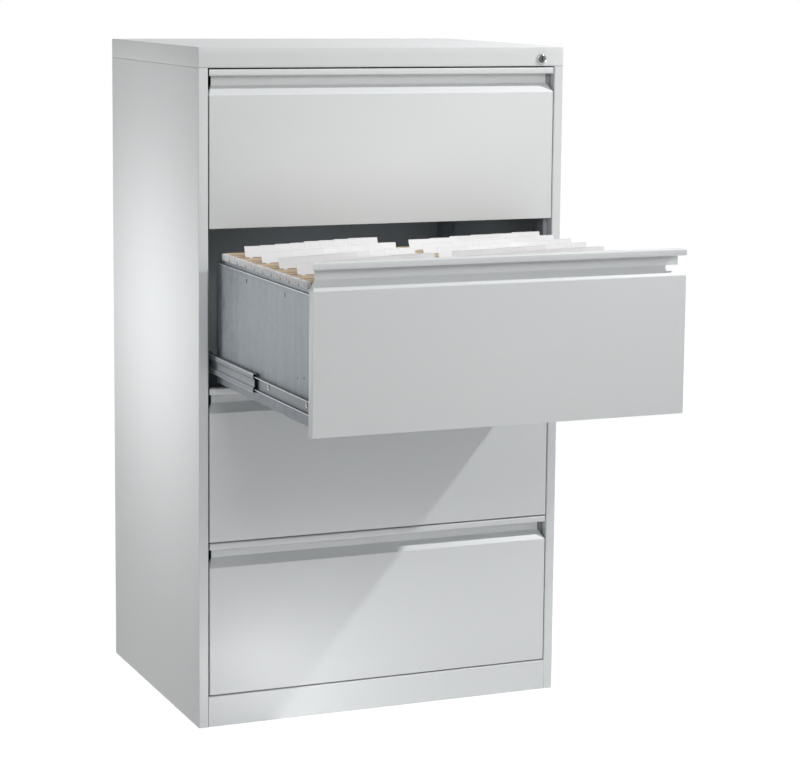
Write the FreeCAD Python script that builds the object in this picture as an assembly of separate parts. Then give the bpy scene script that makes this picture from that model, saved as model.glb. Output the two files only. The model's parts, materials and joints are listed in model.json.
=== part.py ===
import FreeCAD, Part
import math
import os

from FreeCAD import Vector

# Hanging file cabinet with four full-extension drawers, millimetres, +Z up.
# Origin on the floor under the middle of the carcass, +X to the right of someone facing the fronts,
# which look along -Y. Drawer 2, counted from the top, stands fully open at rest.

# Carcass
width = 787.0
depth = 590.0
height = 1357.0
sheet = 1.0
stile = 20.0
stile_return = 20.0
flange = 20.0
cap_height = 40.0
plinth_height = 62.5
plinth_shelf = 21.5
bend_radius = 2.0
cap_corner_radius = 3.0
seam = 0.3

# Uprights that carry the runners
upright_depth = 27.5
upright_width = 34.0
upright_sheet = 1.5
upright_setback = 2.5
slot_width = 4.0
slot_height = 10.0
lower_slot_level = 120.0
upper_slot_level = 200.0

# Drawer fronts
drawers = 4
open_drawer = 2
front_gap = 2.9
front_side_gap = 2.75
front_depth = 20.0
grip_lip = 12.5
grip_lip_return = 4.5
grip_mouth = 19.0
grip_slope = 18.0
grip_depth = 18.0
front_bend = 1.5

# Drawer boxes
travel = 567.0
rear_gap = 15.0
box_lift = 7.8
box_height = 238.0
box_flange = 12.0
ledge = 5.8
upstand = 9.0
back_wrap = 15.0
back_wrap_lift = 67.0
centre_rail_width = 30.0
side_slot = (3.0, 8.0)
side_slot_places = ((400.0, 226.0), (190.0, 226.0))
side_hole = (3.0, 3.0)
side_hole_places = ((123.0, 86.0), (90.0, 91.0))
inner_front_gap = 0.2

# Telescopic runners, seen along the drawer: u counts outwards from the drawer's side
runner_space = 12.7
runner_sheet = 1.2
runner_level = 37.2
runner_setback = 25.0
runner_end_gap = 5.0
outer_height = 45.0
middle_height = 36.0
inner_height = 25.2
middle_setback = 25.0
outer_tip = 4.0
middle_tip = 2.6
inner_tip_gap = 1.0
runner_play = 0.4
runner_bend = 1.0

# Lock with its bar
lock_inset = 50.1
lock_drop = 25.4
lock_flange_radius = 11.0
lock_flange = 2.0
lock_barrel_radius = 9.5
lock_core_radius = 7.0
lock_play = 0.05
lock_barrel = 27.0
lock_core_proud = 0.6
lock_core_tail = 4.0
key_slot = (2.2, 8.0, 6.0)
cam_sheet = 2.5
cam_width = 9.0
bar_lift = 12.0
pin_radius = 2.0
pin_length = 7.5
bar_sheet = 2.0
bar_width = 15.0
bar_face = 2.0
bar_foot_rise = 24.6
bar_play = 0.4
arm_height = 14.0
arm_gap = 2.0
hook_height = 12.0
hook_reach = 12.0
hook_clear = 2.0
catch_level = 105.0
catch_height = 12.0
catch_reach = 9.0
catch_base = 14.0
guide_height = 16.0
guide_wall = 2.5
guide_rise = 235.0

# Hanging folders of the open drawer
folders = 40
folder_pitch = 11.9
folder_rear_gap = 13.0
card = 0.8
card_side_gap = 3.0
card_height = 246.0
card_rise = 12.0
card_foot = 2.4
bar_strip = 1.2
bar_strip_gap = 0.2
strip_height = 11.0
hook_tip = 2.5
hook_drop = 6.0
hook_gap = 0.5
tab_width = 63.0
tab_height = 22.0
tab_sheet = 1.0
tab_side_gap = 4.0
tab_steps = {"left": 9, "right": 6}

# Places worked out from the sizes above
half = width / 2
front_y = -depth / 2
rear_y = depth / 2
opening_half = half - stile
cap_z = height - cap_height
opening_height = cap_z - plinth_height
front_height = (opening_height - front_gap * (drawers + 1)) / drawers
front_half = opening_half - front_side_gap
pitch = front_height + front_gap
upright_face = half - sheet - upright_depth
box_half = upright_face - runner_space
box_length = depth - rear_gap
box_top = box_lift + box_height
runner_length = box_length - runner_setback - runner_end_gap
middle_length = runner_length - middle_setback - runner_end_gap
ledge_x = box_half - ledge
rail_z = box_top + upstand
centre_half = centre_rail_width / 2
front_upright_y = front_y + stile_return + upright_setback
rear_upright_y = rear_y - flange - upright_setback - upright_width
lock_x = half - lock_inset
lock_z = height - lock_drop
bar_x = upright_face + bar_face
bar_y = front_upright_y + upright_width + guide_wall
bar_foot = plinth_height + front_gap + bar_foot_rise
arm_y = front_y + lock_barrel + lock_core_tail + cam_sheet + arm_gap
arm_z = lock_z - bar_lift / 2
pin_arm = bar_lift / (2 * math.sin(math.radians(45)))

os.makedirs("parts", exist_ok=True)


def block(x0, x1, y0, y1, z0, z1):
    """A box between two corners"""
    return Part.makeBox(x1 - x0, y1 - y0, z1 - z0, Vector(x0, y0, z0))


def section_wire(corners, place, cut=False):
    """A closed wire through corners (a, b) or (a, b, radius), each radius as a tangent arc or a cut"""
    points = [Vector(c[0], c[1], 0) for c in corners]
    radii = [c[2] if len(c) > 2 else 0 for c in corners]
    stops = []
    for i, here in enumerate(points):
        back = (points[i - 1] - here).normalize()
        ahead = (points[(i + 1) % len(points)] - here).normalize()
        if radii[i] == 0:
            stops.append((here, None, here))
            continue
        half_angle = back.getAngle(ahead) / 2
        run = radii[i] / math.tan(half_angle)
        bisector = (back + ahead).normalize()
        middle = here + bisector * (radii[i] / math.sin(half_angle) - radii[i])
        stops.append((here + back * run, None if cut else middle, here + ahead * run))
    edges = []
    for i, (start, middle, end) in enumerate(stops):
        if middle is not None:
            edges.append(Part.Arc(place(start), place(middle), place(end)).toShape())
        elif start != end:
            edges.append(Part.makeLine(place(start), place(end)))
        following = stops[(i + 1) % len(stops)][0]
        if end.distanceToPoint(following) > 1e-6:
            edges.append(Part.makeLine(place(end), place(following)))
    return Part.Wire(edges)


def along_y(corners, y0, y1, cut=False):
    """A section in (x, z) drawn out along y"""
    wire = section_wire(corners, lambda p: Vector(p.x, y0, p.y), cut)
    return Part.Face(wire).extrude(Vector(0, y1 - y0, 0))


def along_x(corners, x0, x1):
    """A section in (y, z) drawn out along x"""
    wire = section_wire(corners, lambda p: Vector(x0, p.x, p.y))
    return Part.Face(wire).extrude(Vector(x1 - x0, 0, 0))


def along_z(corners, z0, z1):
    """A section in (x, y) drawn out along z"""
    wire = section_wire(corners, lambda p: Vector(p.x, p.y, z0))
    return Part.Face(wire).extrude(Vector(0, 0, z1 - z0))


def mirrored(shape):
    """The same shape on the other side of the cabinet"""
    return shape.mirror(Vector(0, 0, 0), Vector(1, 0, 0))


def save(node, *solids):
    """One STEP file per node, of one solid or of a group of them"""
    shape = solids[0] if len(solids) == 1 else Part.makeCompound(list(solids))
    for solid in shape.Solids:
        assert solid.isValid() and solid.Volume > 0, node
    shape.exportStep(f"parts/{node}.step")
    print(node, len(shape.Solids), round(shape.Volume / 1000, 1))


def rounded_posts(box, radius):
    """A box with its upright edges rounded"""
    return box.makeFillet(radius, [e for e in box.Edges if e.BoundBox.ZLength > radius])


def side_panel():
    """Left side: one sheet folded into the front stile, its return, the rear and top flanges"""
    x0 = -half
    x1 = -opening_half
    section = [
        (x0, front_y, bend_radius), (x0, rear_y, bend_radius), (x0 + flange, rear_y),
        (x0 + flange, rear_y - sheet), (x0 + sheet, rear_y - sheet, bend_radius - sheet),
        (x0 + sheet, front_y + sheet, bend_radius - sheet), (x1 - sheet, front_y + sheet),
        (x1 - sheet, front_y + stile_return), (x1, front_y + stile_return), (x1, front_y, bend_radius),
    ]
    wall = along_z(section, 0, cap_z)
    top = block(x0 + sheet, x0 + flange, front_y + sheet, rear_y - sheet, cap_z - sheet, cap_z)
    return wall.fuse(top).removeSplitter()


def top_cover():
    """Lid pressed from one sheet, its skirt turned in along the bottom, with the hole of the lock"""
    outer = rounded_posts(block(-half, half, front_y, rear_y, cap_z, height), cap_corner_radius)
    rims = [e for e in outer.Edges if e.BoundBox.ZMin > height - sheet]
    outer = outer.makeFillet(bend_radius, rims)
    inner = block(-half + sheet, half - sheet, front_y + sheet, rear_y - sheet, cap_z + sheet, height - sheet)
    inner = rounded_posts(inner, cap_corner_radius - sheet)
    mouth = block(-half + flange, half - flange, front_y + flange, rear_y - flange, cap_z, cap_z + sheet)
    hole = Part.makeCylinder(lock_barrel_radius + bar_play, sheet * 3,
                             Vector(lock_x, front_y - sheet, lock_z), Vector(0, 1, 0))
    return outer.cut(inner).cut(mouth).cut(hole)


def base_tray():
    """Floor of the carcass, its front edge folded up and back as the plinth"""
    plate_front = front_y + stile_return + sheet
    plate = block(-half + sheet, half - sheet, plate_front, rear_y - 2 * sheet, 0, sheet)
    tongue_half = opening_half - seam
    section = [
        (front_y, 0, bend_radius), (plate_front + sheet, 0), (plate_front + sheet, sheet),
        (front_y + sheet, sheet, bend_radius - sheet),
        (front_y + sheet, plinth_height - sheet, bend_radius - sheet),
        (front_y + plinth_shelf - sheet, plinth_height - sheet),
        (front_y + plinth_shelf - sheet, plinth_height - box_flange),
        (front_y + plinth_shelf, plinth_height - box_flange),
        (front_y + plinth_shelf, plinth_height), (front_y, plinth_height, bend_radius),
    ]
    return plate.fuse(along_x(section, -tongue_half, tongue_half)).removeSplitter()


def rear_panel():
    """Back of the cabinet, behind the drawers and inside the flanges of the sides"""
    wide = half - 2 * sheet
    return block(-wide, wide, rear_y - 2 * sheet, rear_y - sheet, sheet, cap_z - sheet)


def upright(y0):
    """Left slotted channel, open towards the side panel, on which the runners hang"""
    x0 = -half + sheet
    x1 = -upright_face
    y1 = y0 + upright_width
    section = [
        (x0, y0), (x1, y0, bend_radius), (x1, y1, bend_radius), (x0, y1), (x0, y1 - upright_sheet),
        (x1 - upright_sheet, y1 - upright_sheet), (x1 - upright_sheet, y0 + upright_sheet),
        (x0, y0 + upright_sheet),
    ]
    channel = along_z(section, sheet, cap_z - sheet)
    middle = (y0 + y1) / 2
    for drawer in range(1, drawers + 1):
        for level in (lower_slot_level, upper_slot_level):
            z0 = drawer_floor(drawer) + level
            channel = channel.cut(block(x1 - bend_radius, x1 + sheet, middle - slot_width / 2,
                                        middle + slot_width / 2, z0, z0 + slot_height))
    return channel


def drawer_floor(drawer):
    """Height of the bottom edge of a drawer's front"""
    return plinth_height + front_gap + pitch * (drawers - drawer)


def drawer_face(drawer):
    """Where a drawer's front plane stands at rest"""
    return front_y - travel if drawer == open_drawer else front_y


def front(y0, z0):
    """Painted front: one folded sheet with the grip rolled into its top edge, open at the back"""
    lip_z = front_height - grip_lip
    slope_top = lip_z - grip_mouth
    slope_foot = slope_top - grip_slope
    back = front_depth
    section = [
        (0, 0, front_bend), (back, 0), (back, front_height, front_bend), (0, front_height, front_bend),
        (0, lip_z, sheet / 2), (grip_lip_return, lip_z), (grip_lip_return, lip_z + sheet),
        (sheet, lip_z + sheet), (sheet, front_height - sheet), (grip_depth, front_height - sheet),
        (grip_depth, slope_top, front_bend), (0, slope_foot, front_bend),
    ]
    skin = along_x([(y0 + c[0], z0 + c[1], *c[2:]) for c in section], -front_half, front_half)
    tilt = math.atan2(grip_slope, grip_depth)
    inset = sheet / math.cos(tilt)
    hollow_section = [
        (sheet, sheet), (back + sheet, sheet), (back + sheet, slope_top),
        (grip_depth + sheet, slope_top), (sheet, slope_foot - inset + sheet * math.tan(tilt)),
    ]
    hollow = along_x([(y0 + c[0], z0 + c[1]) for c in hollow_section],
                     -front_half + sheet, front_half - sheet)
    return skin.cut(hollow)


def inner_front(y0, z0):
    """Galvanised panel behind the painted front, turned back along the drawer's sides"""
    inside = box_half - sheet
    wide = front_half - sheet - inner_front_gap
    y1 = y0 + front_depth
    top = z0 + front_height - grip_lip - grip_mouth - inner_front_gap
    plate = block(-wide, wide, y1 - sheet, y1, z0 + sheet + inner_front_gap, top)
    wing = block(-inside, -inside + sheet, y1 - sheet, y1 + flange, z0 + box_lift + 2 * sheet,
                 z0 + box_top - sheet)
    return plate.fuse([wing, mirrored(wing)]).removeSplitter()


def box_side(y0, z0):
    """Left side of the drawer: floor flange below, ledge and hanging rail above"""
    x0 = -box_half
    x1 = -ledge_x
    bottom = z0 + box_lift
    top = z0 + box_top
    section = [
        (x0, bottom), (x0, top), (x1, top), (x1, z0 + rail_z), (x1 + sheet, z0 + rail_z),
        (x1 + sheet, top - sheet), (x0 + sheet, top - sheet), (x0 + sheet, bottom + sheet),
        (x0 + box_flange, bottom + sheet), (x0 + box_flange, bottom),
    ]
    side = along_y(section, y0 + front_depth, y0 + box_length)
    for places, (wide, tall) in ((side_slot_places, side_slot), (side_hole_places, side_hole)):
        for along, level in places:
            side = side.cut(block(x0 - sheet, x0 + 2 * sheet, y0 + along, y0 + along + wide,
                                  z0 + level, z0 + level + tall))
    return side


def catch(y0, z0):
    """Angle welded to the right side, which the lock bar's hook holds"""
    y1 = y0 + (bar_y + bar_width - front_y) + hook_gap
    z1 = z0 + catch_level
    foot = block(box_half, box_half + sheet, y1, y1 + catch_base, z1, z1 + catch_height)
    lug = block(box_half, box_half + catch_reach, y1, y1 + bar_sheet, z1, z1 + catch_height)
    return foot.fuse(lug).removeSplitter()


def box_back(y0, z0):
    """Back of the drawer, wrapped round the rear ends of the sides"""
    y1 = y0 + box_length
    inside = box_half - sheet
    plate = block(-box_half, box_half, y1, y1 + sheet, z0 + box_lift, z0 + box_top)
    wrap = block(-box_half - sheet, -box_half, y1 - back_wrap, y1 + sheet,
                 z0 + box_lift + back_wrap_lift, z0 + box_top)
    shelf = block(-inside, inside, y1 - flange / 2, y1, z0 + box_top - 2 * sheet, z0 + box_top - sheet)
    return plate.fuse([wrap, mirrored(wrap), shelf]).removeSplitter()


def box_floor(y0, z0):
    """Floor of the drawer on the flanges of its sides"""
    inside = box_half - sheet
    z1 = z0 + box_lift + sheet
    return block(-inside, inside, y0 + front_depth, y0 + box_length, z1, z1 + sheet)


def centre_rail(y0, z0):
    """Channel between the two lanes, whose edges carry the inner hooks of both"""
    top = z0 + rail_z
    foot = z0 + box_top
    x1 = centre_half
    section = [
        (-x1, top), (-x1 + sheet, top), (-x1 + sheet, foot), (x1 - sheet, foot), (x1 - sheet, top),
        (x1, top), (x1, foot - sheet), (-x1, foot - sheet),
    ]
    return along_y(section, y0 + front_depth, y0 + box_length)


def channel_section(web_u, tip_u, tall, lip, level):
    """Section of a left runner member: a channel with its web at web_u and its edges at tip_u"""
    out = 1 if web_u > tip_u else -1
    w0 = -box_half - web_u
    w1 = w0 + out * runner_sheet
    t0 = -box_half - tip_u
    t1 = t0 - out * runner_sheet
    high = tall / 2
    inner = high - runner_sheet
    upper = [(w0, high, runner_bend), (t0, high, runner_bend)]
    if lip:
        upper += [(t0, high - lip), (t1, high - lip), (t1, inner)]
    else:
        upper += [(t0, inner)]
    upper += [(w1, inner)]
    lower = [(x, -z, *r) for x, z, *r in reversed(upper)]
    return [(x, level + z, *r) for x, z, *r in upper + lower]


def runner_sections(z0):
    """Sections of the outer, middle and inner member of a left runner"""
    level = z0 + box_lift + runner_level
    outer_lip = (outer_height - middle_height) / 2 - runner_play
    middle_lip = (middle_height - inner_height) / 2 - runner_play
    outer = channel_section(runner_space, outer_tip, outer_height, outer_lip, level)
    middle_web = runner_space - runner_sheet - runner_play
    middle = channel_section(middle_web, middle_tip, middle_height, middle_lip, level)
    inner_tip = middle_web - runner_sheet - runner_play - inner_tip_gap
    inner = channel_section(0, inner_tip, inner_height, 0, level)
    return outer, middle, inner


def member_pair(section, y0, length):
    """The left and right member of one section"""
    left = along_y(section, y0, y0 + length, cut=True)
    return left, mirrored(left)


def lock_housing():
    """Barrel of the lock with its flange in front of the lid's skirt"""
    y0 = front_y - lock_flange
    axis = Vector(0, 1, 0)
    ring = Part.makeCylinder(lock_flange_radius, lock_flange, Vector(lock_x, y0, lock_z), axis)
    rim = max(ring.Edges, key=lambda e: -e.BoundBox.YMin - e.BoundBox.YLength * 100)
    ring = ring.makeChamfer(lock_flange / 3, [rim])
    barrel = Part.makeCylinder(lock_barrel_radius, lock_flange + lock_barrel, Vector(lock_x, y0, lock_z), axis)
    bore = Part.makeCylinder(lock_core_radius + lock_play, 2 * lock_barrel,
                             Vector(lock_x, y0 - lock_flange, lock_z), axis)
    return ring.fuse(barrel).cut(bore).removeSplitter()


def lock_core():
    """Plug that the key turns"""
    y0 = front_y - lock_flange - lock_core_proud
    length = lock_core_proud + lock_flange + lock_barrel + lock_core_tail
    plug = Part.makeCylinder(lock_core_radius, length, Vector(lock_x, y0, lock_z), Vector(0, 1, 0))
    wide, tall, deep = key_slot
    slot = block(lock_x - wide / 2, lock_x + wide / 2, y0 - sheet, y0 + deep,
                 lock_z - tall / 2, lock_z + tall / 2)
    return plug.cut(slot)


def lock_cam():
    """Arm on the tail of the plug with the pin that lifts the bar"""
    y0 = front_y + lock_barrel + lock_core_tail
    axis = Vector(0, 1, 0)
    centre = Vector(lock_x, y0, lock_z)
    arm = block(0, pin_arm, 0, cam_sheet, -cam_width / 2, cam_width / 2)
    hub = Part.makeCylinder(lock_core_radius, cam_sheet, Vector(0, 0, 0), axis)
    tip = Part.makeCylinder(cam_width / 2, cam_sheet, Vector(pin_arm, 0, 0), axis)
    pin = Part.makeCylinder(pin_radius, cam_sheet + pin_length, Vector(pin_arm, 0, 0), axis)
    cam = hub.fuse([arm, tip, pin]).removeSplitter()
    cam.rotate(Vector(0, 0, 0), axis, 45)
    cam.translate(centre)
    return cam


def lock_bar():
    """Flat bar behind the right upright, one welded hook per drawer and a slotted arm over to the cam"""
    x1 = bar_x + bar_sheet
    arm_bottom = arm_z - arm_height / 2
    arm_top = arm_z + arm_height / 2
    bar_back = bar_y + bar_width
    bar = block(bar_x, x1, bar_y, bar_back, bar_foot, arm_top)
    link = block(bar_x, x1, arm_y, bar_y, arm_bottom, arm_top)
    plate = block(lock_x, bar_x, arm_y, arm_y + bar_sheet, arm_bottom, arm_top)
    slot_half = pin_radius + bar_play
    near = lock_x + pin_arm * math.cos(math.radians(45)) - slot_half
    far = lock_x + pin_arm + slot_half
    slot = block(near, far, arm_y - sheet, arm_y + 2 * bar_sheet, arm_z - slot_half, arm_z + slot_half)
    hooks = []
    for drawer in range(1, drawers + 1):
        z1 = drawer_floor(drawer) + catch_level - hook_clear
        hooks.append(block(bar_x - hook_reach, bar_x, bar_back - bar_sheet, bar_back, z1 - hook_height, z1))
    return bar, link, plate.cut(slot), *hooks


def lock_bar_guide(level):
    """Plastic block on the upright's rear flange in which the bar slides"""
    x0 = bar_x - guide_wall / 2
    x1 = bar_x + bar_sheet + guide_wall
    y0 = front_upright_y + upright_width
    y1 = bar_y + bar_width + guide_wall
    body = block(x0, x1, y0, y1, level, level + guide_height)
    passage = block(bar_x - bar_play, bar_x + bar_sheet + bar_play, bar_y - bar_play,
                    bar_y + bar_width + bar_play, level - sheet, level + guide_height + sheet)
    return body.cut(passage)


def lane_edges(lane):
    """The two hanging edges of a lane, left then right"""
    if lane == "left":
        return -ledge_x, -centre_half + sheet
    return centre_half - sheet, ledge_x


def folder_card(lane, y0, z0):
    """Card pocket: two leaves that meet in a fold at the bottom, hung from their top edges"""
    left, right = lane_edges(lane)
    top = z0 + rail_z + card_rise
    foot = top - card_height
    gap = folder_pitch / 2
    middle = (gap + card) / 2
    section = [
        (y0, top), (y0 + middle - card_foot / 2, foot), (y0 + middle + card_foot / 2, foot),
        (y0 + gap + card, top), (y0 + gap, top), (y0 + middle, foot + 2 * card), (y0 + card, top),
    ]
    return along_x(section, left + sheet + card_side_gap, right - sheet - card_side_gap)


def folder_strip(lane, y0, z0):
    """Hanging strip of one leaf, its ends hooked over the two rails of the lane"""
    left, right = lane_edges(lane)
    seat = z0 + rail_z
    tip = seat - hook_drop
    top = seat + strip_height
    outer_left = left - hook_gap - hook_tip
    outer_right = right + hook_gap + hook_tip
    section = [
        (outer_left, top), (outer_right, top), (outer_right, tip), (outer_right - hook_tip, tip),
        (outer_right - hook_tip, seat), (outer_left + hook_tip, seat), (outer_left + hook_tip, tip),
        (outer_left, tip),
    ]
    return along_y(section, y0, y0 + bar_strip)


def folder_tab(lane, number, y0, z0):
    """Index tab on the front leaf, one step further along the lane with each folder"""
    left, right = lane_edges(lane)
    steps = tab_steps[lane]
    first = left + sheet + card_side_gap + tab_side_gap
    last = right - sheet - card_side_gap - tab_side_gap - tab_width
    x0 = first + (last - first) * (steps - 1 - number % steps) / (steps - 1)
    z1 = z0 + rail_z + card_rise
    return block(x0, x0 + tab_width, y0, y0 + tab_sheet, z1, z1 + tab_height)


def save_folders(y0, z0):
    """All the folders of one drawer, from the rear forwards"""
    cards = {"left": [], "right": []}
    strips = []
    tabs = []
    for lane in ("left", "right"):
        for number in range(folders):
            y1 = y0 + box_length - folder_rear_gap - folder_pitch * (number + 1)
            leaf = y1 + card + bar_strip_gap
            far_leaf = y1 + folder_pitch / 2 - bar_strip_gap - bar_strip
            cards[lane].append(folder_card(lane, y1, z0))
            strips.append(folder_strip(lane, leaf, z0))
            strips.append(folder_strip(lane, far_leaf, z0))
            tabs.append(folder_tab(lane, number, y1, z0))
    save("folder_cards_left", *cards["left"])
    save("folder_cards_right", *cards["right"])
    save("folder_strips", *strips)
    save("folder_tabs", *tabs)


def save_carcass():
    """The fixed sheets and uprights"""
    left = side_panel()
    save("side_panel_left", left)
    save("side_panel_right", mirrored(left))
    save("top_cover", top_cover())
    save("base_tray", base_tray())
    save("rear_panel", rear_panel())
    front_post = upright(front_upright_y)
    rear_post = upright(rear_upright_y)
    save("upright_front_left", front_post)
    save("upright_front_right", mirrored(front_post))
    save("upright_rear_left", rear_post)
    save("upright_rear_right", mirrored(rear_post))


def save_lock():
    """The lock, its bar and the bar's guides"""
    save("lock_housing", lock_housing())
    save("lock_core", lock_core())
    save("lock_cam", lock_cam())
    save("lock_bar", *lock_bar())
    levels = [drawer_floor(drawer) + guide_rise for drawer in range(1, drawers + 1)]
    save("lock_bar_guides", *[lock_bar_guide(level) for level in levels])


def save_drawer(drawer):
    """One drawer with its runners"""
    z0 = drawer_floor(drawer)
    y0 = drawer_face(drawer)
    name = f"drawer_{drawer}"
    side = box_side(y0, z0)
    save(f"{name}_front", front(y0, z0))
    save(f"{name}_inner_front", inner_front(y0, z0))
    save(f"{name}_side_left", side)
    save(f"{name}_side_right", mirrored(side), catch(y0, z0))
    save(f"{name}_back", box_back(y0, z0))
    save(f"{name}_floor", box_floor(y0, z0))
    save(f"{name}_centre_rail", centre_rail(y0, z0))
    outer, middle, inner = runner_sections(z0)
    outer_front = front_y + runner_setback
    middle_front = outer_front + middle_setback + (y0 - front_y) / 2
    inner_front_y = y0 + runner_setback
    save(f"runner_outer_{drawer}", *member_pair(outer, outer_front, runner_length))
    save(f"runner_middle_{drawer}", *member_pair(middle, middle_front, middle_length))
    save(f"runner_inner_{drawer}", *member_pair(inner, inner_front_y, runner_length))


save_carcass()
save_lock()
for drawer in range(1, drawers + 1):
    save_drawer(drawer)
save_folders(drawer_face(open_drawer), drawer_floor(open_drawer))
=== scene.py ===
# %% [markdown]
# # A hanging file cabinet
# The cabinet is folded sheet steel: a painted carcass, four painted drawer fronts with a rolled grip
# edge, and drawer boxes of bare zinc-coated sheet on telescopic runners. The second drawer stands
# open and shows its hanging folders. Where the CAD model already has the shape that is seen, as in
# the carcass's sides, the uprights, the rails and most of the lock, a piece only gets its finish. The
# fronts, the lid, the left box sides, the inner and middle runner members, the lock's ring and the
# folders show round bends and thin edges, so they are modelled here.

# %% Load the CAD frame
import json
import math
import random

import bmesh
import bpy
from mathutils import Matrix, Vector

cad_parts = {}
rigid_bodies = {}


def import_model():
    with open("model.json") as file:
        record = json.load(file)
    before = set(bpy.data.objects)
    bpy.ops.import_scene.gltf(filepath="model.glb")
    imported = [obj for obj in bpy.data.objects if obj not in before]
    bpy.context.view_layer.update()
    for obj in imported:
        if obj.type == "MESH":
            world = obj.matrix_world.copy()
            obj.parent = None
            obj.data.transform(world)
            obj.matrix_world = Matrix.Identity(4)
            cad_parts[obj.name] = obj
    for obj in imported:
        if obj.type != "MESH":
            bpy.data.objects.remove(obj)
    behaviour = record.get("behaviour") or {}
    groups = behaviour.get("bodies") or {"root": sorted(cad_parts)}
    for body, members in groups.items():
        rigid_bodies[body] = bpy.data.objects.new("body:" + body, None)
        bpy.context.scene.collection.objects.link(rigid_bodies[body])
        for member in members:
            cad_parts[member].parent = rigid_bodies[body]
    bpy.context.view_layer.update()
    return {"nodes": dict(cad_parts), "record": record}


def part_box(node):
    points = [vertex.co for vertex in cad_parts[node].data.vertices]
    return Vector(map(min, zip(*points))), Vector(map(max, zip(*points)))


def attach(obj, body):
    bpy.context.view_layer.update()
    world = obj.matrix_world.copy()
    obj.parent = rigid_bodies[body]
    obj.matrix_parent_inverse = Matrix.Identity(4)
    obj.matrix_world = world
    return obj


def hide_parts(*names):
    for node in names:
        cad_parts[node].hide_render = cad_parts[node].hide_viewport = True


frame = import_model()
nodes = frame["nodes"]
mm = 0.001

# %% [markdown]
# ## Camera
# The cabinet was photographed from its left front, a little above the middle. The camera could be
# placed by eye, but a pose worked out from the carcass's corners keeps every edge where it was seen.
# The frame was cropped a little low, and a small vertical shift does the same without tilting it.

# %% Camera at the photographer's place
def aim(yaw, pitch, roll):
    """Rotation of a camera that looks along +Y turned by yaw, then tilted and rolled, in degrees"""
    yaw, pitch, roll = (math.radians(a) for a in (yaw, pitch, roll))
    ahead = Vector((math.sin(yaw) * math.cos(pitch), math.cos(yaw) * math.cos(pitch), math.sin(pitch)))
    right = Vector((math.cos(yaw), -math.sin(yaw), 0))
    up = right.cross(ahead)
    level_right = right * math.cos(roll) + up * math.sin(roll)
    level_up = up * math.cos(roll) - right * math.sin(roll)
    return Matrix((level_right, level_up, -ahead)).transposed()


lens = bpy.data.cameras.new("camera")
lens.sensor_width = 36
lens.lens = 109.13
lens.shift_y = -0.08
camera = bpy.data.objects.new("camera", lens)
camera.matrix_world = aim(23.009, -8.082, 0.576).to_4x4()
camera.location = (-1.8659, -4.7704, 1.4973)
bpy.context.scene.collection.objects.link(camera)
bpy.context.scene.camera = camera
print("camera at", tuple(camera.location))

# %% [markdown]
# ## Shader sums as plain sums
# A finish is mostly arithmetic on a few noise patterns. Adding Math nodes one by one is slow to
# read, so a small class wraps a socket and lets Python's own signs add the nodes. Every other node
# comes from one method, for a material as for the light of the world.

# %% A socket that can be added and multiplied
class Value:
    """A socket of a node tree, on which the signs of arithmetic work"""

    def __init__(self, owner, socket):
        self.owner = owner
        self.socket = socket

    def sum(self, operation, first, second):
        return self.owner.node("ShaderNodeMath", {"operation": operation}, {0: first, 1: second})

    def __add__(self, other):
        return self.sum("ADD", self, other)

    __radd__ = __add__

    def __sub__(self, other):
        return self.sum("SUBTRACT", self, other)

    def __rsub__(self, other):
        return self.sum("SUBTRACT", other, self)

    def __mul__(self, other):
        return self.sum("MULTIPLY", self, other)

    __rmul__ = __mul__


class Nodes:
    """A node tree, to which one method adds nodes"""

    def __init__(self, tree):
        self.tree = tree

    def give(self, socket, value):
        """Link a value to an input, or write a plain one there"""
        if isinstance(value, Value):
            self.tree.links.new(value.socket, socket)
        else:
            socket.default_value = value

    def node(self, kind, settings=None, sockets=None, out=0):
        """An output of a new node, whose settings are set before its sockets"""
        made = self.tree.nodes.new(kind)
        for setting, value in (settings or {}).items():
            setattr(made, setting, value)
        for socket, value in (sockets or {}).items():
            self.give(made.inputs[socket], value)
        return Value(self, made.outputs[out])

    def seen(self):
        """1 on rays that show a surface, 0 on those that only carry its light elsewhere"""
        kinds = ("Camera", "Glossy", "Transmission")
        camera_ray, glossy_ray, clear_ray = (
            self.node("ShaderNodeLightPath", out=f"Is {kind} Ray") for kind in kinds)
        return camera_ray + glossy_ray + clear_ray

    def show(self, output, shader):
        """Link a shader to the surface of the tree's output node"""
        self.give(self.tree.nodes[output].inputs["Surface"], shader)


class Finish(Nodes):
    """A material with one shader"""

    def __init__(self, name, **constants):
        self.material = bpy.data.materials.new(name)
        self.material.use_nodes = True
        super().__init__(self.material.node_tree)
        self.shader = self.tree.nodes["Principled BSDF"]
        self.feed(**constants)
        self.place = self.node("ShaderNodeTexCoord", out="Object")

    def feed(self, **values):
        """Values or links for the shader's sockets, in whose names _ stands for a space"""
        for socket, value in values.items():
            self.give(self.shader.inputs[socket.replace("_", " ")], value)

    def noise(self, scale, detail=2.0, stretch=(1, 1, 1)):
        """Soft spots, scale per metre, drawn out along an axis whose stretch is below 1"""
        where = self.node("ShaderNodeMapping", sockets={"Vector": self.place, "Scale": stretch})
        return self.node("ShaderNodeTexNoise", sockets={"Vector": where, "Scale": scale, "Detail": detail})

    def between(self, low, high, factor):
        """A colour between two, by a factor"""
        return self.node("ShaderNodeMix", {"data_type": "RGBA"},
                         {"Factor": factor, "A": (*low, 1), "B": (*high, 1)}, out=2)

    def bump(self, height, strength, distance):
        """A relief in metres on the surface"""
        self.feed(Normal=self.node("ShaderNodeBump", sockets={
            "Strength": strength, "Distance": distance, "Height": height}))


# %% [markdown]
# ## Powder coat
# The outside is a light grey powder coat. It is semi-matt, with the fine orange-peel skin that the
# powder leaves when it melts, and hardly any change of tone. Two coats are used: the outer one, and a
# duller one for the uprights inside.

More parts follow.
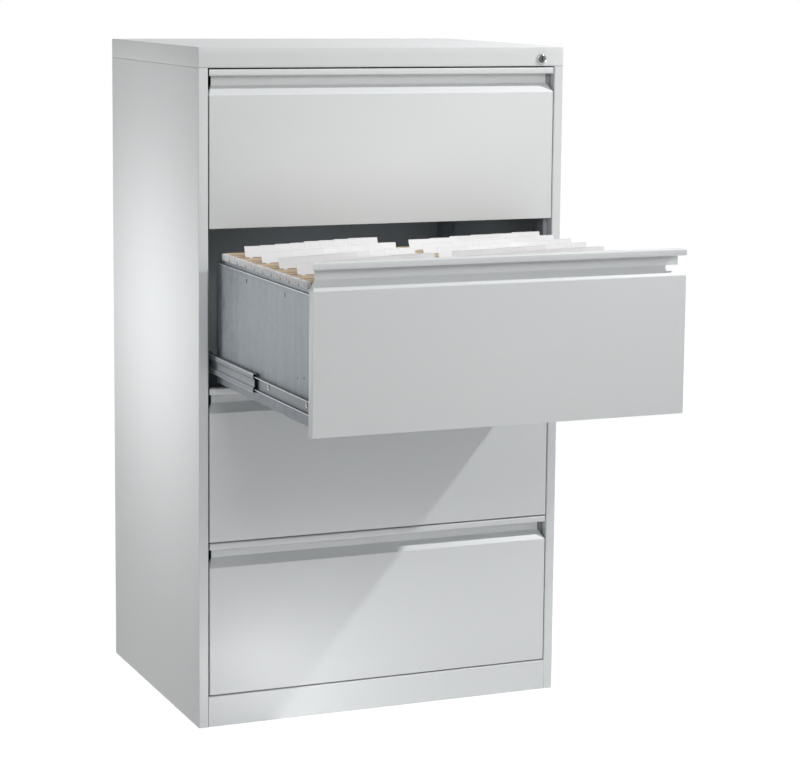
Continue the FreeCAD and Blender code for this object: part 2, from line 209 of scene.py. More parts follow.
# %% The painted finishes
def powder_coat(name, low, high, rough):
    """Baked powder paint between two tones"""
    coat = Finish(name, IOR=1.5)
    cloud = coat.noise(2.2, detail=3.0)
    peel = coat.noise(850.0, detail=1.0)
    coat.feed(Base_Color=coat.between(low, high, cloud), Roughness=rough + 0.06 * coat.noise(14.0))
    coat.bump(peel, strength=0.12, distance=0.06 * mm)
    return coat.material


grey_paint = powder_coat("grey_paint", (0.665, 0.682, 0.687), (0.725, 0.742, 0.747), rough=0.38)
inner_paint = powder_coat("inner_grey_paint", (0.30, 0.33, 0.35), (0.36, 0.39, 0.41), rough=0.50)
print("two coats of paint")

# %% [markdown]
# ## Zinc
# The drawer boxes are zinc-coated sheet, left bare. Zinc freezes in crystals and then dulls, so the
# sheet is cloudy grey with pale flecks, and rolling leaves faint upright streaks. A noise that is
# drawn out gives the streaks, a Voronoi pattern the crystals. The runners are zinc-plated instead,
# which is finer and more even.

# %% The zinc finishes
def zinc_sheet(name, low, high, crystals, streaks):
    """Dull zinc: crystals and streaks between a dark and a pale tone"""
    zinc = Finish(name, Metallic=0.55)
    spots = zinc.node("ShaderNodeTexVoronoi", sockets={"Vector": zinc.place, "Scale": crystals}, out="Color")
    spot = zinc.node("ShaderNodeSeparateColor", sockets={"Color": spots})
    cloud = zinc.noise(9.0, detail=5.0)
    streak = zinc.noise(60.0, detail=3.0, stretch=streaks)
    tone = 0.22 * spot + 0.55 * cloud + 0.40 * streak - 0.08
    zinc.feed(Base_Color=zinc.between(low, high, tone), Roughness=0.36 + 0.22 * cloud + 0.08 * spot)
    zinc.bump(zinc.noise(420.0), strength=0.10, distance=0.05 * mm)
    return zinc.material


galvanised = zinc_sheet("galvanised_sheet", (0.105, 0.12, 0.135), (0.285, 0.31, 0.335),
                        crystals=130.0, streaks=(1, 1, 0.06))
plated = zinc_sheet("zinc_runner", (0.14, 0.155, 0.168), (0.25, 0.27, 0.287),
                    crystals=600.0, streaks=(1, 0.03, 1))
print("two kinds of zinc")

# %% [markdown]
# ## Lock, card and plastic
# The lock's ring is polished nickel round a darker plug, and the parts behind are plain steel. A pale
# zinc is a painted highlight: it goes on the bends of the box sides and on the rims and lugs of the
# runners, where light catches the folds. The folders are buff card, which is fibrous and slightly
# mottled. Tabs, strips and the guides of the lock's bar are moulded plastic.

# %% The other finishes
def polished(name, low, high, rough, metal=1.0):
    """Plain metal with fine turning marks"""
    shine = Finish(name, Metallic=metal)
    marks = shine.noise(900.0, stretch=(1, 0.1, 1))
    shine.feed(Base_Color=shine.between(low, high, marks), Roughness=rough + 0.10 * marks)
    shine.bump(marks, strength=0.08, distance=0.02 * mm)
    return shine.material


def card_stock(name, low, high):
    """Thin card with fibres"""
    card = Finish(name, IOR=1.45)
    fibre = card.noise(700.0, detail=4.0, stretch=(0.25, 1, 1))
    cloud = card.noise(25.0, detail=3.0)
    card.feed(Base_Color=card.between(low, high, 0.6 * cloud + 0.4 * fibre), Roughness=0.78 + 0.12 * fibre)
    card.bump(fibre, strength=0.3, distance=0.1 * mm)
    return card.material


def moulded(name, low, high, rough):
    """Moulded plastic, even, with a soft skin"""
    plastic = Finish(name, IOR=1.5)
    skin = plastic.noise(500.0)
    tone = plastic.between(low, high, plastic.noise(18.0))
    plastic.feed(Base_Color=tone, Roughness=rough + 0.08 * skin)
    plastic.bump(skin, strength=0.1, distance=0.04 * mm)
    return plastic.material


nickel = polished("nickel_lock", (0.36, 0.36, 0.355), (0.50, 0.50, 0.49), rough=0.10)
dark_nickel = polished("nickel_plug", (0.10, 0.10, 0.10), (0.18, 0.18, 0.18), rough=0.30)
# Painted highlight: a pale zinc for the faces where light catches the bends of the box sides and runners
highlight_zinc = polished("zinc_painted_highlight", (0.72, 0.74, 0.76), (0.86, 0.88, 0.90), rough=0.30, metal=0.45)
steel = polished("lock_steel", (0.40, 0.40, 0.40), (0.52, 0.52, 0.52), rough=0.34)
black_plastic = moulded("guide_plastic", (0.02, 0.02, 0.02), (0.035, 0.035, 0.035), rough=0.45)
white_plastic = moulded("white_plastic", (0.70, 0.70, 0.715), (0.77, 0.77, 0.785), rough=0.40)
buff_card = card_stock("buff_card", (0.40, 0.31, 0.21), (0.56, 0.46, 0.33))
print("lock, card and plastic")

# %% Finishes on the CAD nodes
finish_of = {
    "grey_paint": grey_paint, "inner_grey_paint": inner_paint, "galvanised_sheet": galvanised,
    "zinc_runner": plated, "nickel_lock": nickel, "lock_steel": steel,
    "guide_plastic": black_plastic, "buff_card": buff_card, "white_plastic": white_plastic,
}
for part in frame["record"]["subparts"]:
    node = nodes[part["node"]]
    node.data.materials.clear()
    node.data.materials.append(finish_of[part["material_slot"]])
nodes["lock_core"].data.materials[0] = dark_nickel

# %% [markdown]
# ## Working by hand, in code
# Pieces are shaped as at the screen: a primitive, then extrusions of what is selected. The helpers
# below clear the selection, start a piece, and pick its edges, faces or corners by their place.

# %% Starting and selecting
near = 0.01 * mm


def select_only(*pieces):
    """Leave only these pieces selected, the last one active"""
    for other in bpy.context.view_layer.objects:
        other.select_set(False)
    for piece in pieces:
        piece.select_set(True)
        bpy.context.view_layer.objects.active = piece


def start(kind, name, low, high):
    """A cube, or a lying or upright plane, that fills the box between two corners, open for editing"""
    select_only()
    span = Vector(high) - Vector(low)
    upright = kind == "plane" and span.z > span.y
    getattr(bpy.ops.mesh, f"primitive_{kind}_add")(
        size=1, location=(Vector(low) + Vector(high)) / 2, rotation=(math.pi / 2 if upright else 0, 0, 0))
    piece = bpy.context.object
    piece.name = name
    piece.data.name = name
    piece.scale = span if kind == "cube" else (span.x, max(span.y, span.z), 1)
    bpy.ops.object.transform_apply(location=True, rotation=True, scale=True)
    bpy.ops.object.mode_set(mode="EDIT")
    return piece


def pick(kind, test):
    """Select the edges or faces of the edited mesh whose middle passes a test"""
    bpy.ops.mesh.select_mode(type=kind)
    bpy.ops.mesh.select_all(action="DESELECT")
    edited = bpy.context.edit_object.data
    mesh = bmesh.from_edit_mesh(edited)
    for part in (mesh.edges if kind == "EDGE" else mesh.faces):
        middle = sum((v.co for v in part.verts), Vector()) / len(part.verts)
        if test(middle, part):
            part.select_set(True)
    bmesh.update_edit_mesh(edited)


def shift(test, place):
    """Move the corners of the edited mesh that pass a test; place gives the new spot from the old one"""
    edited = bpy.context.edit_object.data
    for corner in bmesh.from_edit_mesh(edited).verts:
        if test(corner):
            corner.co = place(corner.co)
    bmesh.update_edit_mesh(edited)


def edge_count():
    """How many edges the edited mesh has by now"""
    return len(bmesh.from_edit_mesh(bpy.context.edit_object.data).edges)


print("edges count as in place within", near, "m")

# %% [markdown]
# ## Folding sheet
# A press makes such a piece from a flat sheet, one fold after the other. So does the code: it extrudes
# edges, rounds the folds with a bevel, and only then gives the sheet its thickness. Modelling both
# sides of a thin wall at once would make every bend twice the work.

# %% Folding, bending and closing
def fold(*step):
    """Extrude the selected edges by a step in metres, as a sheet is folded on"""
    bpy.ops.mesh.extrude_edges_move(TRANSFORM_OT_translate={"value": step})


def bend(radius, segments):
    """Round the selected folds"""
    bpy.ops.mesh.bevel(offset=radius, segments=segments, affect="EDGES")


def leave():
    """Turn the faces of the edited mesh the same way out, and end editing"""
    bpy.ops.mesh.select_all(action="SELECT")
    bpy.ops.mesh.normals_make_consistent(inside=False)
    bpy.ops.object.mode_set(mode="OBJECT")


def smooth(piece, degrees):
    """Shade a piece smooth, apart from edges that turn by more than an angle"""
    select_only(piece)
    bpy.ops.object.shade_smooth_by_angle(angle=math.radians(degrees))


def apply_modifier(piece, kind, **settings):
    """Add a modifier with its settings and apply it at once"""
    select_only(piece)
    added = piece.modifiers.new(kind.lower(), kind)
    for setting, value in settings.items():
        setattr(added, setting, value)
    bpy.ops.object.modifier_apply(modifier=added.name)


def thicken(piece, thickness, place, outwards, degrees=35):
    """Close a folded sheet: its face near a place looks outwards, and the wall goes behind the faces"""
    leave()
    nearest = min(piece.data.polygons, key=lambda f: (f.center - Vector(place)).length)
    if nearest.normal.dot(Vector(outwards)) < 0:
        piece.data.flip_normals()
    apply_modifier(piece, "SOLIDIFY", thickness=thickness, offset=-1.0, use_even_offset=True)
    smooth(piece, degrees)


gauge = 1.0 * mm
flange = 20 * mm
print("sheet", gauge, "m thick, with flanges", flange, "m deep")

# %% [markdown]
# ## Drawer fronts
# A front is one painted sheet. Its top is rolled into a grip: the face slopes back, stands up as the
# rear wall of the recess, comes forwards again and ends in a narrow lip. The end of the slope is cut
# at an angle, which leaves the recess open at both sides. The front is folded once and copied.

# %% Fold one front
low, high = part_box("drawer_4_front")
wide = high.x
face_y, bottom = low.y, low.z
slope = 18 * mm
recess_wall = 30.5 * mm
roll = 17 * mm
lip_drop = 10.5 * mm
lip_return = 3.5 * mm
end_cut = 9 * mm
slope_foot = high.z - 49.5 * mm

front = start("plane", "front_4", (-wide, face_y, bottom), (wide, face_y, slope_foot))
pick("EDGE", lambda m, e: abs(m.z - slope_foot) < near)
fold(0, slope, slope)
shift(lambda v: v.co.z > slope_foot + near, lambda at: (at.x - math.copysign(end_cut, at.x), at.y, at.z))
fold(0, 0, recess_wall)
fold(0, -roll, 0)
shift(lambda v: v.co.z > slope_foot + near and v.co.y < face_y + slope / 2,
      lambda at: (math.copysign(wide, at.x), at.y, at.z))
fold(0, 0, -lip_drop)
fold(0, lip_return, 0)
print("grip folded,", edge_count(), "edges before the flanges")

# %% Flanges, cheeks and bends
pick("EDGE", lambda m, e: abs(m.z - bottom) < near and abs(m.y - face_y) < near)
fold(0, flange, 0)
pick("EDGE", lambda m, e: abs(abs(m.x) - wide) < near and abs(m.y - face_y) < near and m.z < slope_foot)
fold(0, flange, 0)
bpy.ops.mesh.select_all(action="SELECT")
bpy.ops.mesh.remove_doubles(threshold=near)
# One face closes each cheek, between the top of the side flange and the end of the slope
for hand in (-1, 1):
    pick("EDGE", lambda m, e: hand * m.x > wide - end_cut
         and min(abs(m.z - slope_foot), abs(m.z - slope_foot - slope / 2)) < near)
    bpy.ops.mesh.edge_face_add()
pick("EDGE", lambda m, e: len(e.link_faces) == 2 and abs(m.x) < near)
bend(1.4 * mm, 4)
pick("EDGE", lambda m, e: len(e.link_faces) == 2 and abs(m.y - face_y) < near and abs(m.x) > wide - gauge)
bend(1.0 * mm, 3)
print("front folded,", edge_count(), "edges")
thicken(front, gauge, (0, face_y, (bottom + slope_foot) / 2), (0, -1, 0), degrees=40)

# %% The same front on each drawer
def put(piece, finish, slot, body, *replaced):
    """Give a finished piece its material, the body it rides on and the nodes it stands for"""
    piece.data.materials.clear()
    piece.data.materials.append(finish)
    if replaced:
        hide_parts(*replaced)
    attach(piece, body)


def copy_to(piece, name, step):
    """A copy with a mesh of its own, moved by a step"""
    twin = piece.copy()
    twin.data = piece.data.copy()
    twin.name = name
    twin.data.name = name
    twin.data.transform(Matrix.Translation(step))
    bpy.context.scene.collection.objects.link(twin)
    return twin


def on_each_drawer(piece, name, node, body, finish, slot, bright=()):
    """A piece made at drawer 4, copied to each drawer, whose number stands for {} in the names"""
    made_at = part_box(node.format(4))[0]
    for drawer in range(1, 5):
        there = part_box(node.format(drawer))[0]
        twin = copy_to(piece, name.format(drawer), there - made_at)
        put(twin, finish, slot, body.format(drawer), node.format(drawer))
        # The listed faces get the pale zinc of a painted highlight
        if bright:
            twin.data.materials.append(highlight_zinc)
        for face in bright:
            twin.data.polygons[face].material_index = 1
    print(piece.name, "has", len(piece.data.polygons), "faces,", len(bright), "of them bright")
    bpy.data.objects.remove(piece)


on_each_drawer(front, "front_panel_{}", "drawer_{}_front", "drawer_{}", grey_paint, "grey_paint")

# %% [markdown]
# ## Inner fronts
# A zinc plate closes each front from behind, and its two wings are welded to the sides of the box. The
# upper corners are clipped, since the grip's slope is cut back there and a square corner would show.

# %% Cutting and extruding
def cut(place, normal, whole=True, **options):
    """Cut the whole edited mesh, or only what is selected, by a plane"""
    if whole:
        bpy.ops.mesh.select_all(action="SELECT")
    bpy.ops.mesh.bisect(plane_co=place, plane_no=normal, **options)


def pull(*step):
    """Extrude what is selected by a step in metres"""
    bpy.ops.mesh.extrude_region_move(TRANSFORM_OT_translate={"value": step})


plate_low, plate_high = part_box("drawer_4_inner_front")
side_low, side_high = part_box("drawer_4_side_left")
print("inner front", [round(v, 4) for v in plate_high - plate_low])

# %% Plate and wings behind each front
clip = 14 * mm
plate = start("plane", "inner_plate", plate_low, (plate_high.x, plate_low.y, plate_high.z))
for hand in (-1, 1):
    cut((hand * (plate_high.x - clip), 0, plate_high.z), (hand * 2, 0, 1), clear_outer=True)
thicken(plate, gauge, plate_low, (0, -1, 0), degrees=1)
wings = []
for x in (side_low.x + gauge, -side_low.x - 2 * gauge):
    wing = start("plane", "wing", (x, plate_low.y + gauge, side_low.z + 2 * mm),
                 (x + gauge, plate_low.y + gauge, side_high.z - 1 * mm))
    pick("FACE", lambda m, f: True)
    pull(0, plate_high.y - plate_low.y - gauge, 0)
    leave()
    wings.append(wing)
select_only(*wings, plate)
bpy.ops.object.join()
on_each_drawer(plate, "inner_plate_{}", "drawer_{}_inner_front", "drawer_{}",
               galvanised, "galvanised_sheet")

# %% [markdown]
# ## Zinc sheets folded along the drawer
# The side of a drawer box is one sheet: a flange that carries the floor, the wall, a narrow ledge and
# the rail that the folders hang on. In the photograph each fold shows as a thin bright line, and a
# sharp corner never does that. So the side is folded here as the fronts were, and every fold gets a
# small round bend. One helper does it for any sheet whose section runs along the drawer.

# %% Fold a sheet along the drawer
def folded_along(name, y_from, y_to, section, radius):
    """A sheet left open for editing; section is a list of (x, z), of which the first two lie level"""
    (xa, z), (xb, _) = section[:2]
    made = start("plane", name, (min(xa, xb), y_from, z), (max(xa, xb), y_to, z))
    pick("EDGE", lambda m, e: abs(m.x - xb) < near)
    for (x0, z0), (x1, z1) in zip(section[1:], section[2:]):
        fold(x1 - x0, 0, z1 - z0)
    pick("EDGE", lambda m, e: len(e.link_faces) == 2 and abs(m.y - (y_from + y_to) / 2) < near)
    bend(radius, 3)
    return made


ledge_z = side_high.z - 9 * mm
rail_x = side_low.x + 5.8 * mm
side = folded_along("side_4", side_low.y, side_high.y, [
    (side_low.x + 12 * mm, side_low.z), (side_low.x, side_low.z), (side_low.x, ledge_z),
    (rail_x, ledge_z), (rail_x, side_high.z)], 1.5 * mm)
print("side folded,", edge_count(), "edges before its holes")

# %% Holes, thickness and the painted highlight on the bend
# Millimetres back from the wall's front edge, up from its lower edge, then width and height
holes = [(380, 218.2, 3, 8), (170, 218.2, 3, 8), (103, 78.2, 3, 3), (70, 83.2, 3, 3)]
for back, up, width, height in holes:
    y_hole = side_low.y + back * mm
    z_hole = side_low.z + up * mm
    for y_cut in (y_hole, y_hole + width * mm):
        cut((0, y_cut, 0), (0, 1, 0))
    for z_cut in (z_hole, z_hole + height * mm):
        cut((0, 0, z_cut), (0, 0, 1))
    pick("FACE", lambda m, f: abs(m.x - side_low.x) < near and 0 < m.y - y_hole < width * mm
         and 0 < m.z - z_hole < height * mm)
    bpy.ops.mesh.delete(type="FACE")
thicken(side, gauge, (side_low.x, side_low.y, side_low.z + 50 * mm), (-1, 0, 0))
# The outer face of the fold where the wall turns into the ledge gets the pale zinc of a painted highlight
bend_z = ledge_z - 0.6 * mm
painted_highlight = [f.index for f in side.data.polygons if f.center.x < side_low.x + 1.3 * mm
        and abs(f.center.z - bend_z) < 0.9 * mm]
on_each_drawer(side, "box_side_{}", "drawer_{}_side_left", "drawer_{}",
               galvanised, "galvanised_sheet", painted_highlight)

# %% [markdown]
# ## Runners
# A runner is three channels, one in another, with balls between their edges. The middle one has a
# waist along its web, which stiffens it and gives its end the shape of a 3. The inner one carries
# pressed lugs that the drawer hangs on. The pair is made at the left, mirrored to the right, and
# copied to each drawer. Their rims, bends and lugs get a pale zinc: a painted highlight where light catches
# them. The rims that the balls polish get the bright finish.

# %% The inner member and its lugs
def mirrored_pair(piece):
    """The piece joined with its mirror image at the other side of the drawer"""
    twin = copy_to(piece, piece.name + "_right", (0, 0, 0))
    twin.data.transform(Matrix.Scale(-1, 4, (1, 0, 0)))
    twin.data.flip_normals()
    select_only(twin, piece)
    bpy.ops.object.join()
    return piece


def break_edges(piece, width, segments=1):
    """End editing, and take the sharpness off a solid's edges"""
    bpy.ops.object.mode_set(mode="OBJECT")
    apply_modifier(piece, "BEVEL", width=width, segments=segments, limit_method="ANGLE")


runner_gauge = 1.2 * mm
channel = 8.5 * mm
inner_low, inner_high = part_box("runner_inner_4")
level = (inner_low.z + inner_high.z) / 2
web = inner_low.x + channel
neck = level - 0.6 * mm
member = folded_along("inner_member", inner_low.y, inner_high.y, [
    (inner_low.x, inner_high.z), (web, inner_high.z),
    (web, inner_low.z), (inner_low.x, inner_low.z)], 0.9 * mm)
thicken(member, runner_gauge, (web, inner_low.y, level), (1, 0, 0))
lugs = []
for back in (47 * mm, 247 * mm):
    y = inner_low.y + back
    lug = start("cube", "lug", (web - 3.2 * mm, y, level - 3 * mm),
                (web - 1.1 * mm, y + 2.4 * mm, level + 7 * mm))
    cut((0, 0, neck), (0, 0, 1))
    pick("FACE", lambda m, f: f.normal.y < -0.5 and m.z < neck)
    pull(0, -5 * mm, 0)
    break_edges(lug, 0.5 * mm, segments=2)
    lugs.append(lug)
select_only(*lugs, member)
bpy.ops.object.join()
print("inner member with", len(lugs), "lugs")

# %% The inner members in pairs
def faces_of(pair, test):
    """Indices of the faces whose distance from the drawer's middle and from the runner's passes a test"""
    return [f.index for f in pair.data.polygons if test(abs(f.center.x), abs(f.center.z - level), f)]


pair = mirrored_pair(member)
# Painted highlight: the edges of the flanges and the small faces of the lugs get the pale zinc
painted_highlight = faces_of(pair, lambda x, z, f: x > -inner_low.x - 0.2 * mm or (
    1.2 * mm < x + web < 3.4 * mm and z < 8 * mm and f.area < 3e-5))
on_each_drawer(pair, "inner_member_{}", "runner_inner_{}", "drawer_{}", plated, "zinc_runner", painted_highlight)

# %% The middle member
mid_low, mid_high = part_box("runner_middle_4")
tip = mid_low.x + channel
waist = mid_low.x + 3 * mm
member = folded_along("middle_member", mid_low.y, mid_high.y, [
    (tip, mid_high.z), (mid_low.x, mid_high.z), (mid_low.x, level + 9 * mm), (waist, level + 6 * mm),
    (waist, level - 6 * mm), (mid_low.x, level - 9 * mm), (mid_low.x, mid_low.z), (tip, mid_low.z),
    (tip, mid_low.z + 5 * mm)], 1.0 * mm)
pick("EDGE", lambda m, e: abs(m.x - tip) < near and abs(m.z - mid_high.z) < near
     and len(e.link_faces) == 1)
fold(0, 0, -5 * mm)
thicken(member, runner_gauge, (mid_low.x, mid_low.y, mid_low.z + 4 * mm), (-1, 0, 0))
pair = mirrored_pair(member)
# Painted highlight: the top and bottom bends beside the web get the pale zinc
painted_highlight = faces_of(pair, lambda x, z, f: x > -mid_low.x - 1.3 * mm and z > mid_high.z - level - 1.1 * mm)
on_each_drawer(pair, "middle_member_{}", "runner_middle_{}", "runner_{}", plated, "zinc_runner", painted_highlight)

# %% [markdown]
# ## Lock ring
# The ring round the plug is turned from one bar: a rounded rim, a shallow groove and a bore. A turned
# part is a profile spun round its axis, and only the curves of that profile give the crescents of
# light that polished nickel shows.

# %% Spin the ring from its profile of radius and depth in mm
ring_low, ring_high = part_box("lock_housing")
lock_x = (ring_low.x + ring_high.x) / 2
lock_z = (ring_low.z + ring_high.z) / 2
profile = [(7.05, 29.0), (7.05, 0.7), (7.5, 0.15), (8.0, 0.0), (8.5, 0.35), (9.1, 0.45), (9.7, 0.25),
           (10.2, 0.0), (10.7, 0.3), (11.0, 0.9), (11.0, 2.0), (9.5, 2.0), (9.5, 29.0), (7.05, 29.0)]
ring = start("plane", "lock_ring", (lock_x, ring_low.y, lock_z),
             (lock_x + 1 * mm, ring_low.y + 1 * mm, lock_z))
mesh = bmesh.from_edit_mesh(ring.data)
mesh.verts.ensure_lookup_table()
kept = mesh.verts[0]
kept.co = Vector((lock_x + profile[0][0] * mm, ring_low.y + profile[0][1] * mm, lock_z))
bpy.ops.mesh.select_mode(type="VERT")
for corner in mesh.verts:
    corner.select_set(corner is not kept)
bmesh.update_edit_mesh(ring.data)
bpy.ops.mesh.delete(type="VERT")
bpy.ops.mesh.select_all(action="SELECT")
for (r0, d0), (r1, d1) in zip(profile, profile[1:]):
    pull((r1 - r0) * mm, (d1 - d0) * mm, 0)
bpy.ops.mesh.select_all(action="SELECT")
bpy.ops.mesh.spin(steps=48, angle=2 * math.pi, center=(lock_x, 0, lock_z), axis=(0, 1, 0))
bpy.ops.mesh.select_all(action="SELECT")
bpy.ops.mesh.remove_doubles(threshold=near)
leave()
smooth(ring, 40)
put(ring, nickel, "nickel_lock", "cabinet", "lock_housing")
print("ring has", len(ring.data.polygons), "faces")

# %% [markdown]
# ## Lid
# The lid is a shallow tray pressed from one sheet, turned over onto the sides, with its lower edge
# folded in. That fold is round, so a fine groove runs all round where the lid rests on the sides, and
# with a sharp one the lid and the sides would read as one panel. The hole for the lock has eight
# corners, and the ring covers them all.

# %% Fold the lid
lid_low, lid_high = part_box("top_cover")
lid = start("plane", "lid", (lid_low.x, lid_low.y, lid_high.z), lid_high)
pick("EDGE", lambda m, e: True)
fold(0, 0, lid_low.z - lid_high.z)
pick("EDGE", lambda m, e: len(e.link_faces) == 1)
fold(0, 0, 0)
shift(lambda v: v.select,
      lambda at: (at.x - math.copysign(flange, at.x), at.y - math.copysign(flange, at.y), at.z))
pick("EDGE", lambda m, e: m.z > lid_low.z + near
     or max(abs(m.x) - lid_high.x, abs(m.y) - lid_high.y) > -near)
bend(2 * mm, 4)
print("lid folded,", edge_count(), "edges before the hole")

# %% Cut the lock's hole
hole = 9.6 * mm
for turn in range(8):
    out = Vector((math.cos(turn * math.pi / 4), 0, math.sin(turn * math.pi / 4)))
    pick("FACE", lambda m, f: m.y < lid_low.y + near)
    cut(Vector((lock_x, 0, lock_z)) + out * hole, out, whole=False)
pick("FACE", lambda m, f: m.y < lid_low.y + near and math.hypot(m.x - lock_x, m.z - lock_z) < hole)
bpy.ops.mesh.delete(type="FACE")
thicken(lid, gauge, (0, 0, lid_high.z), (0, 0, 1))
put(lid, grey_paint, "grey_paint", "cabinet", "top_cover")
print("lid has", len(lid.data.polygons), "faces")

# %% [markdown]
# ## Hanging folders
# Each folder is a pocket of buff card that hangs from two flat strips. The card is folded over the
# strip at the top, and that hem is all that shows of it from outside. One plane, folded on edge by
# edge, gives hem, leaf, bottom fold, leaf and hem in a row. It is copied along the lane. The folders
# bunch in fours, as the photograph shows at the rail, and each leans a little.

# %% One folder's card
cards_low, cards_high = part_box("folder_cards_left")
pitch = 11.9 * mm
first_y = cards_high.y - 6.75 * mm
card_top = cards_high.z - 0.4 * mm
card_foot = cards_low.z
folders = 40
bunch = (-3.0 * mm, -1.0 * mm, 1.0 * mm, 3.0 * mm)
steps_back = [bunch[n % 4] - pitch * n for n in range(folders)]


def folded_card(lane_low, lane_high):
    """A card pocket at the rear end of a lane, from one hem to the other"""
    card = start("plane", "folder_card", (lane_low, first_y + 2.6 * mm, card_top - 10 * mm),
                 (lane_high, first_y + 2.6 * mm, card_top - 0.9 * mm))
    pick("EDGE", lambda m, e: m.z > card_top - 1 * mm)
    deep = card_top - card_foot - 1.2 * mm
    # Steps back and up in mm for the hem, the front leaf, the foot, the rear leaf and its hem
    path = [(-0.7, 0.8), (-0.9, 0), (-0.6, -0.8), (2.7, -deep / mm), (0.55, 0), (2.7, deep / mm),
            (-0.6, 0.8), (-0.9, 0), (-0.7, -0.8), (0, -9.1)]
    for along, rise in path:
        fold(0, along * mm, rise * mm)
    bpy.ops.object.mode_set(mode="OBJECT")
    apply_modifier(card, "SOLIDIFY", thickness=0.6 * mm, offset=0.0)
    return card


def row_of(piece, name, places):
    """Copies of a piece in one mesh, each moved by a step and turned about a pivot, in degrees"""
    copies = []
    for number, (step, pivot, lean, turn) in enumerate(places):
        twin = copy_to(piece, f"{name}_{number}", (0, 0, 0))
        swing = Matrix.Rotation(math.radians(lean), 4, "X") @ Matrix.Rotation(math.radians(turn), 4, "Z")
        twin.data.transform(Matrix.Translation(Vector(step) + Vector(pivot)) @ swing
                            @ Matrix.Translation(-Vector(pivot)))
        copies.append(twin)
    select_only(*copies)
    bpy.ops.object.join()
    row = bpy.context.object
    row.name = name
    row.data.name = name
    bpy.data.objects.remove(piece)
    return row


chance = random.Random(11)
for lane in ("left", "right"):
    lane_low, lane_high = (corner.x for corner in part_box(f"folder_cards_{lane}"))
    card = folded_card(lane_low, lane_high)
    hang = ((lane_low + lane_high) / 2, first_y + 3.3 * mm, card_top)
    places = []
    for step in steps_back:
        lean = chance.uniform(-0.4, 0.4)
        turn = chance.uniform(-0.12, 0.12)
        places.append(((0, step, 0), hang, lean, turn))
    row = row_of(card, f"cards_{lane}", places)
    put(row, buff_card, "buff_card", "drawer_2", f"folder_cards_{lane}")
    print(lane, "lane has", folders, "folders,", len(row.data.polygons), "faces")

# %% [markdown]
# ## Strips and hooks
# A strip lies in each hem. Its ends are thicker, and they hook over the drawer's rails: seen from the
# side they make the white row along the rail. A bar is cut across where its thickness changes, its
# end faces are drawn down as hooks and out to the sides, and the edges are broken with a small bevel.

# %% One strip with its hooks
strips_low, strips_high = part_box("folder_strips")
seat = strips_low.z + 6 * mm
outer = strips_low.x
inner = -11 * mm
hook = 2.5 * mm
thick_end = 8 * mm
lane_spacing = 360.5 * mm
leaf_gap = 3.55 * mm


def hanging_strip():
    """The rearmost strip of the left lane"""
    y = first_y + 1.0 * mm
    strip = start("cube", "folder_strip", (outer, y, seat + 0.1 * mm),
                  (inner, y + 1.2 * mm, strips_high.z))
    for x in (outer + hook, outer + thick_end, inner - thick_end, inner - hook):
        cut((x, 0, 0), (1, 0, 0))
    pick("FACE", lambda m, f: f.normal.z < -0.5 and not outer + hook < m.x < inner - hook)
    pull(0, 0, -1.6 * mm)
    for hand in (-1, 1):
        pick("FACE", lambda m, f: hand * f.normal.y > 0.5
             and not outer + thick_end < m.x < inner - thick_end)
        pull(0, hand * 0.8 * mm, 0)
    break_edges(strip, 0.3 * mm)
    return strip


for lane, aside in (("left", 0), ("right", lane_spacing)):
    strip = hanging_strip()
    places = []
    for step in steps_back:
        for leaf in (0, leaf_gap):
            places.append(((aside, step + leaf, 0), (outer, first_y, seat), 0, 0))
    row = row_of(strip, f"strips_{lane}", places)
    replaced = ["folder_strips"] if lane == "left" else []
    put(row, white_plastic, "white_plastic", "drawer_2", *replaced)
    print(lane, "strips:", len(row.data.polygons), "faces")

# %% [markdown]
# ## Index tabs
# A tab is a flat plastic sleeve that clips into the front leaf. Each folder carries its tab one step
# further along, so that the tabs make slanting rows. They lean back a good twenty degrees, which is
# how they can be read from above, and why they are the brightest thing in the drawer.

# %% One tab
tabs_low, tabs_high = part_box("folder_tabs")
tab_wide = 63 * mm
foot_from = 8 * mm
foot_to = 15 * mm


def index_tab():
    """A sleeve with a sunk window, on two feet, at the left end of the left lane's rearmost folder"""
    x0 = cards_low.x + 4 * mm
    z0 = tabs_low.z
    x1 = x0 + tab_wide
    tab = start("cube", "index_tab", (x0, first_y, z0), (x1, first_y + 1.0 * mm, tabs_high.z))
    for x in (x0 + foot_from, x0 + foot_to, x1 - foot_to, x1 - foot_from):
        cut((x, 0, 0), (1, 0, 0))
    pick("FACE", lambda m, f: f.normal.z < -0.5 and foot_from < min(m.x - x0, x1 - m.x) < foot_to)
    pull(0, 0, -2.5 * mm)
    pick("FACE", lambda m, f: f.normal.y < -0.5 and m.z > z0)
    bpy.ops.mesh.inset(thickness=1.6 * mm, depth=-0.25 * mm)
    break_edges(tab, 0.25 * mm)
    return tab, (x0 + tab_wide / 2, first_y + 0.5 * mm, z0)


for lane, steps in (("left", 8), ("right", 6)):
    tab, pivot = index_tab()
    lane_low, lane_high = (corner.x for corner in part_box(f"folder_cards_{lane}"))
    margin = 8 * mm if lane == "left" else 0
    play = lane_high - lane_low - 8 * mm - tab_wide - margin
    places = []
    for n in range(folders):
        x = lane_low - cards_low.x + margin + play * (steps - 1 - n % steps) / (steps - 1)
        lean = chance.uniform(-25.0, -19.0)
        turn = chance.uniform(-0.5, 0.5)
        places.append(((x, steps_back[n], 0), pivot, lean, turn))
    row = row_of(tab, f"tabs_{lane}", places)
    replaced = ["folder_tabs"] if lane == "left" else []
    put(row, white_plastic, "white_plastic", "drawer_2", *replaced)
    print(lane, "tabs:", len(row.data.polygons), "faces")

# %% [markdown]
# ## Studio
# The photograph has no room in it: a white floor runs into a white background. A small lamp high on
# the right draws the sharp diagonal shadow under the open drawer, a wide one in front softens it, and
# a third makes the pale pool on the cabinet's left side. A white room would also throw light back.
# Three faint lamps stand for that: one by the floor for the plinth, one over the folders for the
# drawer front above them, and a bluish one that makes the inside of the bay read as steel. The floor
# is only a little lit, so that it stays white and still carries a soft shadow.

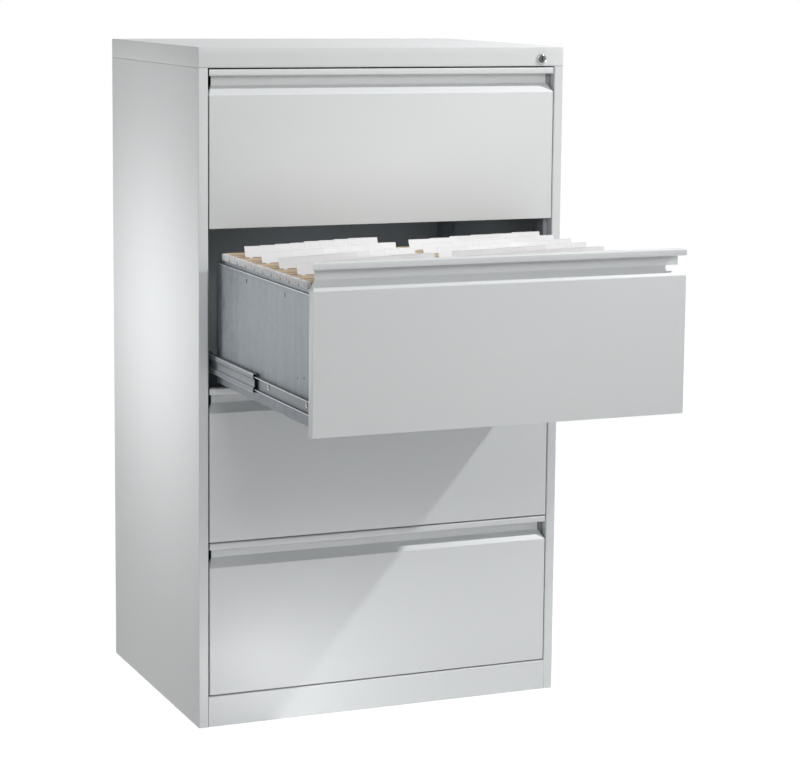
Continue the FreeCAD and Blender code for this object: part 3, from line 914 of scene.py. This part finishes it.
# %% Floor
floor = start("plane", "studio_floor", (-9, -9, 0), (9, 9, 0))
bpy.ops.mesh.subdivide(number_cuts=3)
bpy.ops.object.mode_set(mode="OBJECT")
white = (1, 1, 1, 1)
floor_white = Finish("studio_floor", Roughness=0.9)
tone = floor_white.between((0.86, 0.86, 0.86), (0.88, 0.88, 0.88), floor_white.noise(3.0))
floor_white.feed(Base_Color=tone)
glow = floor_white.node("ShaderNodeEmission", sockets={"Color": white, "Strength": 1.12})
mostly_glow = floor_white.node("ShaderNodeMixShader", sockets={
    0: 0.86 * floor_white.seen(), 1: Value(floor_white, floor_white.shader.outputs[0]), 2: glow})
floor_white.show("Material Output", mostly_glow)
floor.data.materials.append(floor_white.material)
print("floor laid")

# %% World
world = bpy.data.worlds.new("studio")
bpy.context.scene.world = world
world.use_nodes = True
sky = Nodes(world.node_tree)
room = sky.node("ShaderNodeBackground", sockets={"Color": white, "Strength": 0.25})
backdrop = sky.node("ShaderNodeBackground", sockets={"Color": white, "Strength": 1.0})
sky.show("World Output", sky.node("ShaderNodeMixShader", sockets={0: sky.seen(), 1: room, 2: backdrop}))
print("even studio light")

# %% Lamps
def lamp(name, place, target, size, watts, tall=None):
    """A soft box at a place, turned to a target, square unless its height is given"""
    box = bpy.data.lights.new(name, "AREA")
    box.shape = "RECTANGLE" if tall else "SQUARE"
    box.size = size
    box.size_y = tall or size
    box.energy = watts
    holder = bpy.data.objects.new(name, box)
    holder.location = place
    holder.rotation_euler = (Vector(target) - Vector(place)).to_track_quat("-Z", "Y").to_euler()
    holder.visible_camera = False
    bpy.context.scene.collection.objects.link(holder)
    return box


lamp("key_box", (2.57, -1.20, 3.36), (0, -0.3, 0.6), size=0.12, watts=106)
lamp("front_box", (-0.3, -3.4, 2.4), (0, -0.3, 0.6), size=1.2, watts=29)
lamp("left_box", (-0.95, 0.02, 0.81), (-0.39, 0.02, 0.81), size=0.3, watts=2.85)
lamp("floor_bounce", (-0.23, -0.60, 0.035), (-0.25, -0.3, 0.055), size=0.2, watts=0.29, tall=0.06)
lamp("folder_bounce", (0.02, -0.62, 1.08), (0.02, -0.3, 1.25), size=0.62, watts=0.42, tall=0.1)
bay_glow = lamp("bay_glow", (0.1, -0.05, 0.80), (0.1, 0.29, 0.95), size=0.3, watts=0.10)
bay_glow.color = (0.86, 0.95, 1.0)
print("six lamps")

# %% Colours come out as they are written
bpy.context.scene.view_settings.view_transform = "Standard"
print("standard view transform")
